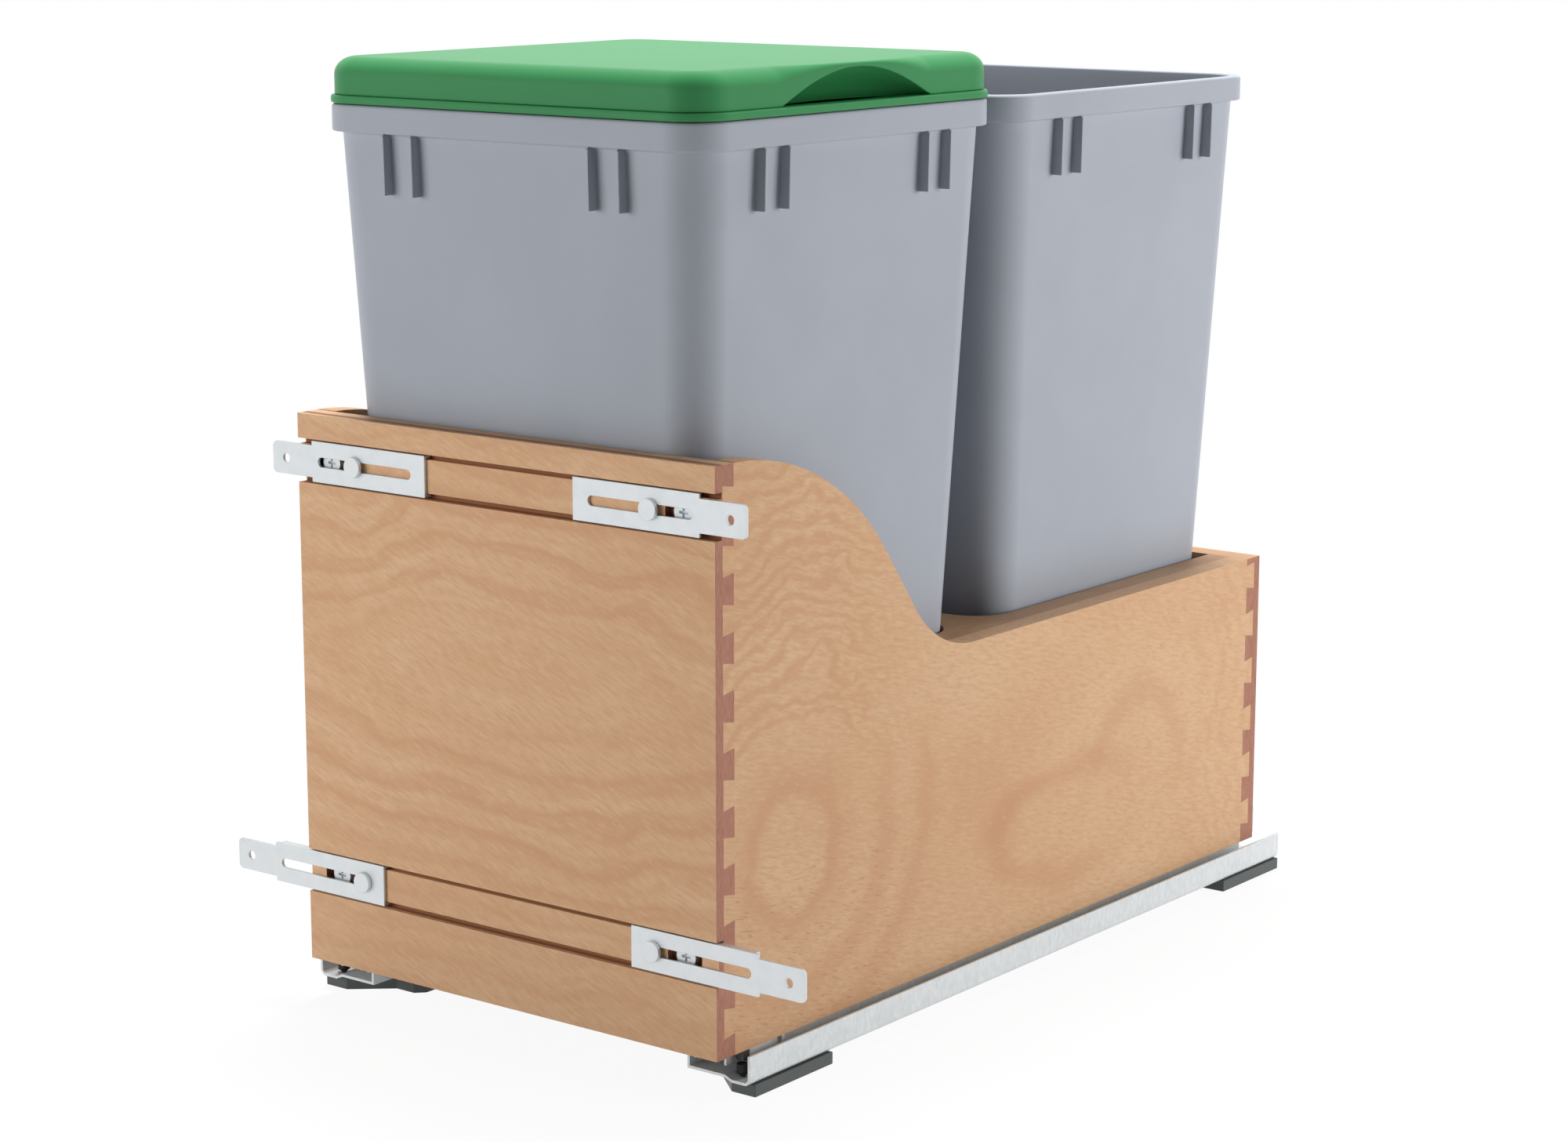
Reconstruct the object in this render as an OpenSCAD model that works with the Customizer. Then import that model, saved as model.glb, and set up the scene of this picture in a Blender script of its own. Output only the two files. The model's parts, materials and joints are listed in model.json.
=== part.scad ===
// Pull-out bin frame: a dovetailed wood tray on bottom-mount slides, with two lift-out bins,
// a lift-off lid and four sliding brackets for a cabinet door.
// X is the width, +Y runs to the back, +Z is up. The feet stand on Z = 0.

/* [Wood tray] */
// Width of the tray over its sides
box_w = 287.3; // [280:0.1:300]
// Depth of the tray over its front and rear boards
box_d = 533.4; // [525:0.1:550]
// Height of the front board
front_h = 305; // [290:0.5:330]
// Height of the rear board and of the low part of the sides
side_h = 178.5; // [165:0.5:190]
// Thickness of the front and rear boards
end_t = 14.8; // [14:0.1:16]
// Thickness of the side boards
side_t = 12.7; // [11.5:0.1:13.5]
// Thickness of the floor panel
floor_t = 9.5; // [8:0.1:11]
// Height of the floor panel's underside above the tray's bottom edge
floor_up = 12.7; // [11:0.1:15]
// Depth of the grooves that hold the floor panel
floor_groove = 6; // [4:0.1:7]
// Thickness of the deck that the bins pass through
deck_t = 12; // [9:0.1:14]
// Width of the battens under the deck
batten_w = 11; // [8:0.5:12]
// Height of the battens under the deck
batten_h = 18; // [12:0.5:25]
// Radius of the upper bend in the sides' top edge
bend_top_r = 162; // [150:0.5:170]
// Radius of the lower bend in the sides' top edge
bend_low_r = 69; // [60:0.5:75]
// Slope of the straight run between the two bends, in degrees
bend_slope = 53; // [50:0.5:55]

/* [Dovetails] */
// Distance from one tail to the next
tail_pitch = 29.8; // [28:0.1:32]
// Height of the lowest tail's middle above the tray's bottom edge
tail_first = 18.4; // [16:0.1:20]
// Height of a tail where it leaves the side board
tail_base = 13.3; // [11:0.1:14]
// Height of a tail at its end
tail_end = 16.1; // [15:0.1:17]
// Wood left in front of the tails' ends
lap = 6; // [5:0.1:7]

/* [Bins] */
// Distance from the tray's side to a bin's rim
rim_side_in = 12.65; // [11:0.05:16]
// Gap between the front bin and the front board's top edge
front_gap = 1.4; // [0.8:0.1:4]
// Gap between the rear bin and the rear board's top edge
rear_gap = 0.8; // [0.5:0.1:4]
// Gap between the two bins' rims
can_between = 6; // [4:0.5:12]
// Distance that the rim stands out from a bin's body
rim_out = 4; // [3:0.1:5]
// Distance that each wall of a bin leans out from its foot to its rim
can_lean = 20.6; // [16:0.1:24]
// Height of a bin from its foot to the top of its rim
can_h = 448; // [430:0.5:470]
// Height of the rim
can_rim_h = 14.4; // [12:0.1:20]
// Corner radius of the rim
can_rim_r = 24; // [20:0.5:26]
// Corner radius at the foot
can_foot_r = 19; // [16:0.5:22]
// Thickness of a bin's wall
can_wall = 2.2; // [1.6:0.1:3]
// Thickness of a bin's bottom
can_floor_t = 2.8; // [2:0.1:4]
// Thickness of a fin under the rim
fin_t = 2.3; // [1.5:0.1:3]
// Length of a fin
fin_l = 31.6; // [20:0.1:40]
// Place of the inner fin of each pair, from the middle of the bin's face
fin_inner = 59.5; // [50:0.5:65]
// Place of the outer fin of each pair, from the middle of the bin's face
fin_outer = 79.7; // [75:0.1:85]
// Gap between a bin and the side edges of its cut-out in the deck
cutout_side_gap = 2.2; // [1.5:0.1:4]
// Corner radius of the bins' cut-outs
cutout_r = 25; // [20:0.5:28]
// Gap between the front bin and the strip between the cut-outs
bridge_front_gap = 3.2; // [2:0.1:6]
// Gap between the rear bin and the strip between the cut-outs
bridge_rear_gap = 14.2; // [8:0.1:18]

/* [Lid] */
// Distance that the lid's flange stands out past the bin's rim
lid_over = 0.3; // [0:0.1:1]
// Distance from the flange's edge to the lid's side
lid_ledge = 2.1; // [1.5:0.1:4]
// Height of the flange
lid_flange_h = 4.4; // [3:0.1:6]
// Height of the lid over its flange
lid_h = 24.2; // [22:0.1:30]
// Radius of the lid's top edge
lid_edge_r = 9; // [6:0.5:12]
// Thickness of the lid's wall
lid_wall = 2.2; // [1.8:0.1:3]
// Depth of the lip that locates the lid in the bin
lid_lip = 8; // [5:0.5:12]
// Width of the finger scoop at the flange
scoop_w = 128; // [110:1:140]
// Thickness of the lid over the finger scoop
scoop_cover = 2.8; // [2.4:0.1:4]
// Depth of the finger scoop
scoop_d = 22; // [16:0.5:28]

/* [Door brackets] */
// Length of a bracket
plate_l = 112; // [108:0.5:118]
// Height of a bracket's channel
plate_h = 22.4; // [21:0.1:23.4]
// Thickness of a bracket's sheet
plate_t = 1.9; // [1.5:0.1:2]
// Depth of a bracket's two flanges from its face
flange_d = 5.2; // [3.5:0.1:5.4]
// Distance that the flanges stop short of the channel's shoulder
flange_short = 2.5; // [0.5:0.1:4]
// Length of the flat tongue
tongue_l = 29.5; // [26:0.5:32]
// Height of the flat tongue
tongue_h = 17.6; // [15:0.1:19]
// Corner radius of the tongue
tongue_r = 3; // [1:0.5:5]
// Length of the adjusting slot
slot_l = 68; // [60:0.5:69]
// Width of the adjusting slot
slot_w = 5.2; // [5:0.1:6]
// Distance from the tongue's end to the slot
slot_in = 34; // [32:0.5:36]
// Diameter of the hole for the door screw
door_hole_d = 5; // [4:0.1:6]
// Distance from the tongue's end to the middle of the door screw's hole
door_hole_in = 10.2; // [8:0.1:14]
// Distance from the front board's top edge to the upper brackets' middle
upper_down = 25.5; // [22:0.1:30]
// Height of the lower brackets' middle above the tray's bottom edge
lower_z = 50.7; // [48:0.1:53]
// Distance that the upper brackets stand out past the tray's sides
upper_out = 19.55; // [2:0.05:50]
// Distance that the lower brackets stand out past the tray's sides
lower_out = 55.75; // [2:0.05:56]
// Height of a bracket's groove in the front board
groove_h = 24.1; // [23.6:0.1:25]
// Height of the two saw cuts along a groove's edges
kerf_h = 3.1; // [2.8:0.1:3.5]
// Depth of the saw cuts
kerf_d = 5.8; // [5.6:0.1:6]
// Depth of the strip between the saw cuts
strip_in = 2.1; // [2.1:0.05:2.4]
// Distance from the tray's sides to the clamp studs
stud_in = 41.65; // [40:0.05:44]
// Diameter of a clamp stud's head
stud_head_d = 11.2; // [9:0.1:13]
// Thickness of a clamp stud's head
stud_head_t = 2.6; // [2:0.1:3.5]
// Diameter of a clamp stud's shank
stud_d = 4.8; // [4:0.1:4.8]
// Diameter of the threaded insert that takes the stud
insert_d = 9; // [7.5:0.1:10]
// Length of the threaded insert
insert_l = 9; // [7:0.1:10]
// Distance from the tray's sides to the pan-head screws
pan_in = 22.15; // [21:0.05:24]
// Diameter of a pan-head screw's head
pan_head_d = 12.5; // [10:0.1:14]
// Height of a pan-head screw's head
pan_head_t = 3.5; // [2:0.1:4]
// Diameter of a pan-head screw's shank
pan_d = 4; // [3:0.1:5]
// Length of a pan-head screw's shank
pan_l = 6; // [4:0.1:7]
// Diameter of the pocket round a pan-head screw
pocket_d = 22.6; // [18:0.1:23.6]
// Depth of the pocket below the strip
pocket_in = 4.3; // [4.2:0.1:5]

/* [Slides] */
// Distance that the cabinet rails reach past the tray's rear board
rail_over = 17; // [8:0.1:30]
// Distance from the tray's front face to the rails' front end
rail_back = 15.4; // [15.2:0.1:20]
// Width of a cabinet rail
rail_w = 41; // [40.8:0.1:43]
// Distance that the cabinet rails stand out past the tray's sides
rail_out = 9.05; // [8.5:0.05:10]
// Depth of a cabinet rail below the tray's bottom edge
rail_h = 15.7; // [15.5:0.1:17]
// Thickness of the rails' sheet
rail_t = 1.6; // [1.4:0.1:1.8]
// Height of the rail's outer wall above the tray's bottom edge
rail_rise = 0.3; // [0:0.1:0.6]
// Outer radius of the bend under the outer wall
rail_bend_r = 4; // [3:0.1:5]
// Height of the step from the trough to the rail's floor
rail_step = 1.9; // [1.5:0.1:2.2]
// Width of the rail's floor, from the inner wall to the step
rail_floor_w = 24.5; // [24.2:0.1:26]
// Run of the slanted step
rail_step_w = 4.5; // [3:0.1:5]
// Distance of the tray's rail from the cabinet rail's inner face
tray_rail_in = 4; // [3.6:0.1:4.4]
// Width of the tray's rail
tray_rail_w = 21.3; // [20.8:0.1:22]
// Height of the tray's rail
tray_rail_h = 7.5; // [7:0.1:7.8]
// Gap between the tray's rail and the front board
tray_rail_gap = 1; // [0.5:0.1:3]
// Gap between the tray's rail and the rear board
hook_gap = 6.8; // [5:0.1:20]
// Thickness of the sheet of the sliding rails
slide_t = 1.4; // [1.2:0.1:1.5]
// Distance from a cabinet rail's ends to the middle rail's ends
mid_end_in = 17.5; // [12:0.5:30]
// Side gap between the rails
slide_gap = 0.8; // [0.5:0.1:1]
// Gap between a ball and the rails that it rolls on
ball_gap = 0.3; // [0.1:0.05:0.4]
// Length of a ball cage
cage_l = 240; // [200:1:242]
// Thickness of a ball cage
cage_t = 1.2; // [0.8:0.1:1.6]
// Distance from one ball to the next
ball_pitch = 30; // [15:1:40]
// Length of cabinet rail that is not used by the tray's travel
travel_spare = 27; // [27:0.5:80]
// Diameter of the front bumper's head
bumper_d = 6.4; // [5:0.1:7.4]
// Diameter of the front bumper's neck
bumper_neck_d = 2.6; // [2:0.1:3.4]
// Height of the front bumper above the rail's trough
bumper_h = 7; // [6:0.1:7.4]
// Height of the front bumper's neck
bumper_neck_h = 0.4; // [0.3:0.1:1]
// Distance from the rail's front end to the front bumper
bumper_back = 4.5; // [2:0.1:10]

/* [Clips] */
// Distance from the tray's front face to the front clip
clip_y = 27.7; // [25:0.1:45]
// Length of the front clip
clip_l = 29.7; // [26:0.1:40]
// Width of the front clip
clip_w = 5; // [4:0.1:6]
// Length of the recess in the clip's outer face
clip_recess_l = 8.5; // [6:0.1:12]
// Depth of the recess in the clip's outer face
clip_recess_d = 2; // [1:0.1:2.5]
// Length of the post behind the recess
clip_post_l = 3; // [2:0.1:5]
// Height of the front clip
clip_h = 6; // [4:0.1:6]
// Length of the release lever
lever_l = 4.9; // [4:0.1:9]
// Travel of the release lever
lever_travel = 4; // [2:0.1:4]
// Width of the rear bracket
rear_plate_w = 22; // [18:0.5:26]
// Height of the rear bracket
rear_plate_h = 17; // [14:0.1:20]
// Thickness of the rear bracket
rear_plate_t = 2.4; // [1.5:0.1:3]
// Diameter of the pin of the rear hook
hook_d = 4; // [3:0.1:5]
// Height of the hook's pin above the tray's bottom edge
hook_z = 7; // [6:0.1:8]

/* [Feet] */
// Height of a foot below its rail
foot_h = 6.8; // [5:0.1:10]
// Length of a foot
foot_l = 66; // [58:0.5:75]
// Distance from the rail's front end to the front foot
foot_back = 4.4; // [2:0.1:10]
// Width of the foot's nose
foot_nose_w = 15.5; // [13:0.5:18]
// Width of the foot with its wing
foot_w = 54.7; // [52:0.1:60]
// Run of the slanted edge between nose and wing
foot_slant = 18; // [12:0.5:22]
// Diameter of the hole for a cabinet floor screw
floor_hole_d = 5; // [4:0.1:6]
// Distance from the foot's outer face to the cabinet floor screw's hole
floor_hole_x = 47.6; // [46.5:0.1:49]
// Distance from the foot's front to the cabinet floor screw's hole
floor_hole_y = 36; // [32:0.5:40]
// Diameter of the rivets that hold a foot
rivet_d = 4; // [3:0.1:5]

/* [Hidden] */
$fn = 64;

// Clearances
seat = 0.3;
slip = 0.1;
thin = 0.05;
cut = 1;

// The tray's frame: its front face, and its bottom edge above the surface under the feet
box_z = foot_h + rail_h;
box_half = box_w / 2;
rail_l = box_d + rail_over - rail_back;
front_y = (stud_head_t - rail_back - rail_l) / 2;

inner_half = box_half - side_t;
inner_back = box_d - end_t;
floor_top = floor_up + floor_t;

// The sides' top edge: start and end of the straight run between the bends
bend_y0 = end_t;
bend_y1 = bend_y0 + bend_top_r * sin(bend_slope);
bend_z1 = front_h - bend_top_r * (1 - cos(bend_slope));
bend_z2 = side_h + bend_low_r * (1 - cos(bend_slope));
bend_y2 = bend_y1 + (bend_z1 - bend_z2) / tan(bend_slope);
bend_y3 = bend_y2 + bend_low_r * sin(bend_slope);
bend_steps = 36;

// How far a bin's wall has leaned out at a height above the tray's bottom edge
can_z = floor_top + seat;
can_body_h = can_h - can_rim_h;
function lean_at(z) = can_lean * (z - can_z) / can_body_h;

// Bins: the rims' front and rear limits, then the size of both bins
rim_front_y = end_t + front_gap - rim_out - can_lean + lean_at(front_h);
rim_rear_y = inner_back - rear_gap + rim_out + can_lean - lean_at(side_h);
can_rim = [box_w - 2 * rim_side_in, (rim_rear_y - rim_front_y - can_between) / 2];
can_top = can_rim - [2 * rim_out, 2 * rim_out];
can_foot = can_top - [2 * can_lean, 2 * can_lean];
can_inset = [2 * can_wall, 2 * can_wall];
can_front_y = rim_front_y + can_rim[1] / 2;
can_rear_y = rim_rear_y - can_rim[1] / 2;

// Cut-outs in the deck
cutout_half_w = can_foot[0] / 2 + lean_at(side_h) + cutout_side_gap;
can_deck_half_d = can_foot[1] / 2 + lean_at(side_h);
bridge_front = can_front_y + can_deck_half_d + bridge_front_gap;
bridge_rear = can_rear_y - can_deck_half_d - bridge_rear_gap;

// Lid
lid_z = can_z + can_h + seat;
lid_flange = can_rim + [2 * lid_over, 2 * lid_over];
lid_body = lid_flange - [2 * lid_ledge, 2 * lid_ledge];
lid_lip_size = can_top - can_inset - [4 * seat, 4 * seat];
lid_lip_inset = [2 * lid_wall, 2 * lid_wall];
lid_r = can_rim_r - lid_ledge;
scoop_h = lid_h - lid_flange_h - scoop_cover;
scoop_r = (pow(scoop_w / 2, 2) + pow(scoop_h, 2)) / (2 * scoop_h);
scoop_plan_r = (pow(scoop_w / 2, 2) + pow(scoop_d, 2)) / (2 * scoop_d);

// Brackets
stud_short = 1.5;
stud_l = end_t - stud_short;
cross_l = pan_head_d * 0.45;
cross_w = pan_head_d * 0.1;
pan_seat = strip_in + pocket_in;
upper_z = front_h - upper_down;
plate_y = strip_in - plate_t - slip;

// Rails, right side: heights above the tray's bottom edge and places from the inner wall
rail_side = box_half + rail_out;
rail_x = rail_side - rail_w;
trough_z = -rail_h;
rail_floor_z = trough_z + rail_step;
track_z = rail_floor_z + rail_t;
ball_d = (-slide_t - track_z - slide_t - 4 * ball_gap) / 2;
low_ball_z = track_z + ball_gap + ball_d / 2;
mid_z = track_z + ball_d + 2 * ball_gap;
high_ball_z = mid_z + slide_t + ball_gap + ball_d / 2;
mid_in = tray_rail_in + slide_t + slide_gap;
mid_w = tray_rail_w - 2 * (slide_t + slide_gap);
mid_y = rail_back + mid_end_in;
mid_l = rail_l - 2 * mid_end_in;
travel = rail_l - travel_spare;
tray_rail_y = end_t + tray_rail_gap;
tray_rail_l = inner_back - hook_gap - tray_rail_y;
cage_y = rail_back + travel / 4 + (rail_l - travel / 2 - cage_l) / 2;
cage_in = mid_in + slide_t + seat;
cage_w = mid_w - 2 * (slide_t + seat);
ball_count = floor((cage_l - ball_pitch / 2) / ball_pitch);
clip_in = tray_rail_in + tray_rail_w + 1;
hook_x = rail_x + tray_rail_in + tray_rail_w / 2;
rear_plate_x = hook_x - rear_plate_w / 4;
rear_plate_z = hook_z - rear_plate_h / 4;
rear_screw_x = rear_plate_x + rear_plate_w * 0.72;
rear_screw_z = rear_plate_z + rear_plate_h * 0.7;
rear_head_d = pan_d * 1.8;

// Feet
foot_front_y = rail_back + foot_back;
foot_rear_y = rail_back + rail_l - foot_l;
foot_wing_x = foot_nose_w + foot_slant * 1.18;
foot_corner = 5;
foot_sole = 1.5;
rivet_edge = 7.5;
rivet_in = rail_w - rivet_edge;
rivet_head_t = 0.8;
rivet_head_d = rivet_d * 1.6;
rivet_low = foot_sole + 0.5 - foot_h;
bumper_in = rail_floor_w + rail_step_w + bumper_neck_d / 2 + slip;
bumper_flare = (bumper_d - bumper_neck_d) / 2;

wood = "burlywood";
zinc = "lightgray";
grey_plastic = "slategray";
black_plastic = "dimgray";

// Placing and shared shapes

module in_tray() {
    translate([0, front_y, box_z]) children();
}

module on_side(left) {
    if (left) mirror([1, 0, 0]) children();
    else children();
}

module both_sides() {
    children();
    mirror([1, 0, 0]) children();
}

// Extrudes a shape drawn in Y and Z along +X
module along_x(length) {
    rotate([90, 0, 90]) linear_extrude(length) children();
}

// Extrudes a shape drawn in X and Z along +Y
module along_y(length) {
    translate([0, length, 0]) rotate([90, 0, 0]) linear_extrude(length) children();
}

// A cylinder along +Y
module rod_y(d, length) {
    rotate([-90, 0, 0]) cylinder(h = length, d = d);
}

module round_rect(size, r) {
    square([size[0], size[1] - 2 * r], center = true);
    square([size[0] - 2 * r, size[1]], center = true);
    for (sx = [-1, 1], sy = [-1, 1])
        translate([sx * (size[0] / 2 - r), sy * (size[1] / 2 - r)]) circle(r);
}

// Wood tray

module tail(grow = 0) {
    polygon([
        [end_t + grow, -tail_base / 2],
        [lap, -tail_end / 2],
        [lap, tail_end / 2],
        [end_t + grow, tail_base / 2]
    ]);
}

// The row of tails at a corner of the given height, as solids inside the board ahead of the side
module tails(height) {
    count = floor((height - tail_first - tail_end / 2) / tail_pitch);
    for (i = [0 : count])
        translate([inner_half, 0, tail_first + i * tail_pitch]) along_x(side_t) tail(thin);
}

module rear_tails() {
    translate([0, box_d, 0]) mirror([0, 1, 0]) tails(side_h);
}

// Points along an arc of the sides' top edge, from one angle to another
function bend(y, z, r, from, to) =
    [for (i = [0 : bend_steps])
        let (a = from + (to - from) * i / bend_steps)
        [y + r * cos(a), z + r * sin(a)]];

// The high front of a side, the straight slope, the hollow at its foot and the low run to the back
module side_outline() {
    polygon(concat(
        [[bend_y0, 0]],
        bend(bend_y0, front_h - bend_top_r, bend_top_r, 90, 90 - bend_slope),
        bend(bend_y3, side_h + bend_low_r, bend_low_r, 270 - bend_slope, 270),
        [[inner_back, side_h], [inner_back, 0]]
    ));
}

module floor_slab() {
    translate([-inner_half - floor_groove, end_t - floor_groove, floor_up])
        cube([2 * (inner_half + floor_groove), inner_back - end_t + 2 * floor_groove, floor_t]);
}

// One groove for a pair of brackets: two saw cuts and the lowered strip between them
module bracket_groove(z) {
    for (edge = [-groove_h / 2, groove_h / 2 - kerf_h])
        translate([-box_w, -cut, z + edge]) cube([2 * box_w, kerf_d + cut, kerf_h]);
    translate([-box_w, -cut, z - groove_h / 2]) cube([2 * box_w, strip_in + cut, groove_h]);
}

module bracket_grooves() {
    bracket_groove(upper_z);
    bracket_groove(lower_z);
}

module at_studs() {
    for (side = [-1, 1], z = [upper_z, lower_z])
        translate([side * (box_half - stud_in), 0, z]) children();
}

module at_pan_screws() {
    for (side = [-1, 1], z = [upper_z, lower_z])
        translate([side * (box_half - pan_in), 0, z]) children();
}

module front_panel() {
    color(wood) in_tray() difference() {
        translate([-box_half, 0, 0]) cube([box_w, end_t, front_h]);
        both_sides() tails(front_h);
        bracket_grooves();
        floor_slab();
        at_studs() {
            rod_y(stud_d + 2 * seat, end_t);
            translate([0, end_t - insert_l, 0]) rod_y(insert_d, insert_l + cut);
        }
        at_pan_screws() {
            rod_y(pocket_d, pan_seat);
            rod_y(pan_d, pan_seat + pan_l);
        }
    }
}

module rear_panel() {
    color(wood) in_tray() difference() {
        translate([-box_half, inner_back, 0]) cube([box_w, end_t, side_h]);
        both_sides() {
            rear_tails();
            rear_hook_hole();
            rear_screw_hole();
        }
        floor_slab();
    }
}

module side_panel(left) {
    color(wood) in_tray() on_side(left) difference() {
        union() {
            translate([inner_half, 0, 0]) along_x(side_t) side_outline();
            tails(front_h);
            rear_tails();
        }
        floor_slab();
        bracket_grooves();
        at_pan_screws() rod_y(pocket_d, pan_seat);
    }
}

module left_side_panel() {
    side_panel(true);
}

module right_side_panel() {
    side_panel(false);
}

module floor_panel() {
    color(wood) in_tray() floor_slab();
}

// A bin's cut-out, rounded at the strip's edge and square at its far end
module cutout(edge, far) {
    corner = edge + sign(far - edge) * cutout_r;
    narrow = cutout_half_w - cutout_r;
    wide = cutout_half_w;
    polygon([[-wide, corner], [wide, corner], [wide, far], [-wide, far]]);
    polygon([[-narrow, edge], [narrow, edge], [narrow, far], [-narrow, far]]);
    for (side = [-1, 1]) translate([side * narrow, corner]) circle(cutout_r);
}

module can_deck() {
    color(wood) in_tray() translate([0, 0, side_h - deck_t]) linear_extrude(deck_t) difference() {
        translate([-inner_half, end_t]) square([2 * inner_half, inner_back - end_t]);
        cutout(bridge_front, end_t - cut);
        cutout(bridge_rear, inner_back + cut);
    }
}

module deck_battens() {
    color(wood) in_tray() both_sides()
        translate([inner_half - batten_w, end_t, side_h - deck_t - batten_h])
            cube([batten_w, inner_back - end_t, batten_h]);
}

// Door brackets

// A bracket drawn with its tongue's end at X = 0, the tongue pointing to +X, its middle at Z = 0
module bracket_shape() {
    channel_l = plate_l - tongue_l;
    difference() {
        union() {
            translate([-plate_l, 0, -plate_h / 2]) cube([channel_l, plate_t, plate_h]);
            for (z = [-plate_h / 2, plate_h / 2 - plate_t])
                translate([-plate_l, 0, z]) cube([channel_l - flange_short, flange_d, plate_t]);
            along_y(plate_t) tongue_outline();
        }
        translate([0, -cut, 0]) along_y(plate_t + 2 * cut) slot_outline();
        translate([-door_hole_in, -cut, 0]) rod_y(door_hole_d, plate_t + 2 * cut);
    }
}

module tongue_outline() {
    translate([-tongue_l - thin, -tongue_h / 2]) square([tongue_l - tongue_r + thin, tongue_h]);
    translate([-tongue_r - thin, -tongue_h / 2 + tongue_r])
        square([tongue_r + thin, tongue_h - 2 * tongue_r]);
    for (z = [-1, 1]) translate([-tongue_r, z * (tongue_h / 2 - tongue_r)]) circle(tongue_r);
}

module slot_outline() {
    translate([-slot_in - slot_l + slot_w / 2, -slot_w / 2]) square([slot_l - slot_w, slot_w]);
    for (x = [-slot_in - slot_w / 2, -slot_in - slot_l + slot_w / 2])
        translate([x, 0]) circle(d = slot_w);
}

module bracket(left, out, z) {
    color(zinc) in_tray() on_side(left) translate([box_half + out, plate_y, z]) bracket_shape();
}

module upper_left_bracket() {
    bracket(true, upper_out, upper_z);
}

module upper_right_bracket() {
    bracket(false, upper_out, upper_z);
}

module lower_left_bracket() {
    bracket(true, lower_out, lower_z);
}

module lower_right_bracket() {
    bracket(false, lower_out, lower_z);
}

module clamp_studs() {
    color(zinc) in_tray() at_studs() {
        translate([0, plate_y - slip - stud_head_t, 0]) rod_y(stud_head_d, stud_head_t);
        translate([0, plate_y - slip - thin, 0]) rod_y(stud_d, stud_l);
    }
}

module stud_inserts() {
    color("goldenrod") in_tray() at_studs() translate([0, end_t - insert_l, 0]) difference() {
        rod_y(insert_d - 2 * thin, insert_l);
        translate([0, -cut, 0]) rod_y(stud_d + 2 * thin, insert_l + 2 * cut);
    }
}

module pan_head_screws() {
    color(zinc) in_tray() at_pan_screws() {
        translate([0, pan_seat - pan_head_t, 0]) difference() {
            rod_y(pan_head_d, pan_head_t);
            for (turn = [0, 90]) rotate([0, turn, 0])
                translate([-cross_l / 2, -cut, -cross_w / 2])
                    cube([cross_l, cut + pan_head_t / 2, cross_w]);
        }
        translate([0, pan_seat - thin, 0]) rod_y(pan_d - 2 * thin, pan_l);
    }
}

// Bins and lid

module can_hull(foot, top, foot_r, top_r, height) {
    hull() {
        linear_extrude(thin) round_rect(foot, foot_r);
        translate([0, 0, height - thin]) linear_extrude(thin) round_rect(top, top_r);
    }
}

// The fins on the two faces that look along Y, at half a bin's depth from its middle
module fin_pairs(half_d) {
    fin_d = rim_out + can_lean;
    for (y = [-half_d, half_d - fin_d], side = [-1, 1], at = [fin_inner, fin_outer])
        translate([side * at - fin_t / 2, y, can_body_h - fin_l]) cube([fin_t, fin_d, fin_l + thin]);
}

module can() {
    lean_top = can_lean * (can_rim_h + cut) / can_body_h;
    lean_floor = can_lean * can_floor_t / can_body_h;
    difference() {
        union() {
            can_hull(can_foot, can_top, can_foot_r, can_rim_r, can_body_h);
            translate([0, 0, can_body_h - thin]) linear_extrude(can_rim_h + thin)
                round_rect(can_rim, can_rim_r);
            fin_pairs(can_rim[1] / 2);
            rotate([0, 0, 90]) fin_pairs(can_rim[0] / 2);
        }
        translate([0, 0, can_floor_t]) can_hull(
            can_foot - can_inset + [2 * lean_floor, 2 * lean_floor],
            can_top - can_inset + [2 * lean_top, 2 * lean_top],
            can_foot_r - can_wall, can_rim_r - can_wall,
            can_h - can_floor_t + cut
        );
    }
}

module front_can() {
    color(grey_plastic) in_tray() translate([0, can_front_y, can_z]) can();
}

module rear_can() {
    color(grey_plastic) in_tray() translate([0, can_rear_y, can_z]) can();
}

// The lid's dome, drawn in by a distance on every side
module lid_dome(inset) {
    corner_x = lid_body[0] / 2 - lid_r;
    corner_y = lid_body[1] / 2 - lid_r;
    corner = lid_r - inset;
    edge = lid_edge_r - inset;
    top = lid_h - inset;
    hull() for (sx = [-1, 1], sy = [-1, 1]) translate([sx * corner_x, sy * corner_y, 0]) {
        cylinder(h = top - edge, r = corner, $fn = 40);
        translate([0, 0, top - edge]) rotate_extrude($fn = 40)
            translate([corner - edge, 0]) intersection() {
                circle(edge, $fn = 32);
                square(edge);
            }
    }
}

// The finger scoop under the lid's arched edge, grown by a distance on every side
module scoop(grow) {
    face = lid_body[0] / 2;
    intersection() {
        translate([0, 0, lid_flange_h + scoop_h - scoop_r]) rotate([0, 90, 0])
            cylinder(h = face + cut, r = scoop_r + grow, $fn = 180);
        translate([face - scoop_d + scoop_plan_r, 0, lid_flange_h - grow])
            cylinder(h = scoop_h + 2 * grow, r = scoop_plan_r + grow, $fn = 180);
    }
}

// The brim that stands out over the scoop, level with the lid's side
module scoop_brim() {
    face = lid_body[0] / 2;
    intersection() {
        translate([face - lid_edge_r, 0, lid_flange_h + scoop_h - scoop_r]) rotate([0, 90, 0])
            cylinder(h = lid_edge_r, r = scoop_r + lid_wall, $fn = 180);
        translate([face - lid_edge_r, -scoop_w / 2, lid_flange_h + lid_wall])
            cube([lid_edge_r, scoop_w, lid_h - lid_flange_h - lid_wall]);
    }
}

module lid_lip_hole() {
    round_rect(lid_lip_size - lid_lip_inset, can_rim_r - can_wall - lid_wall);
}

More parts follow.
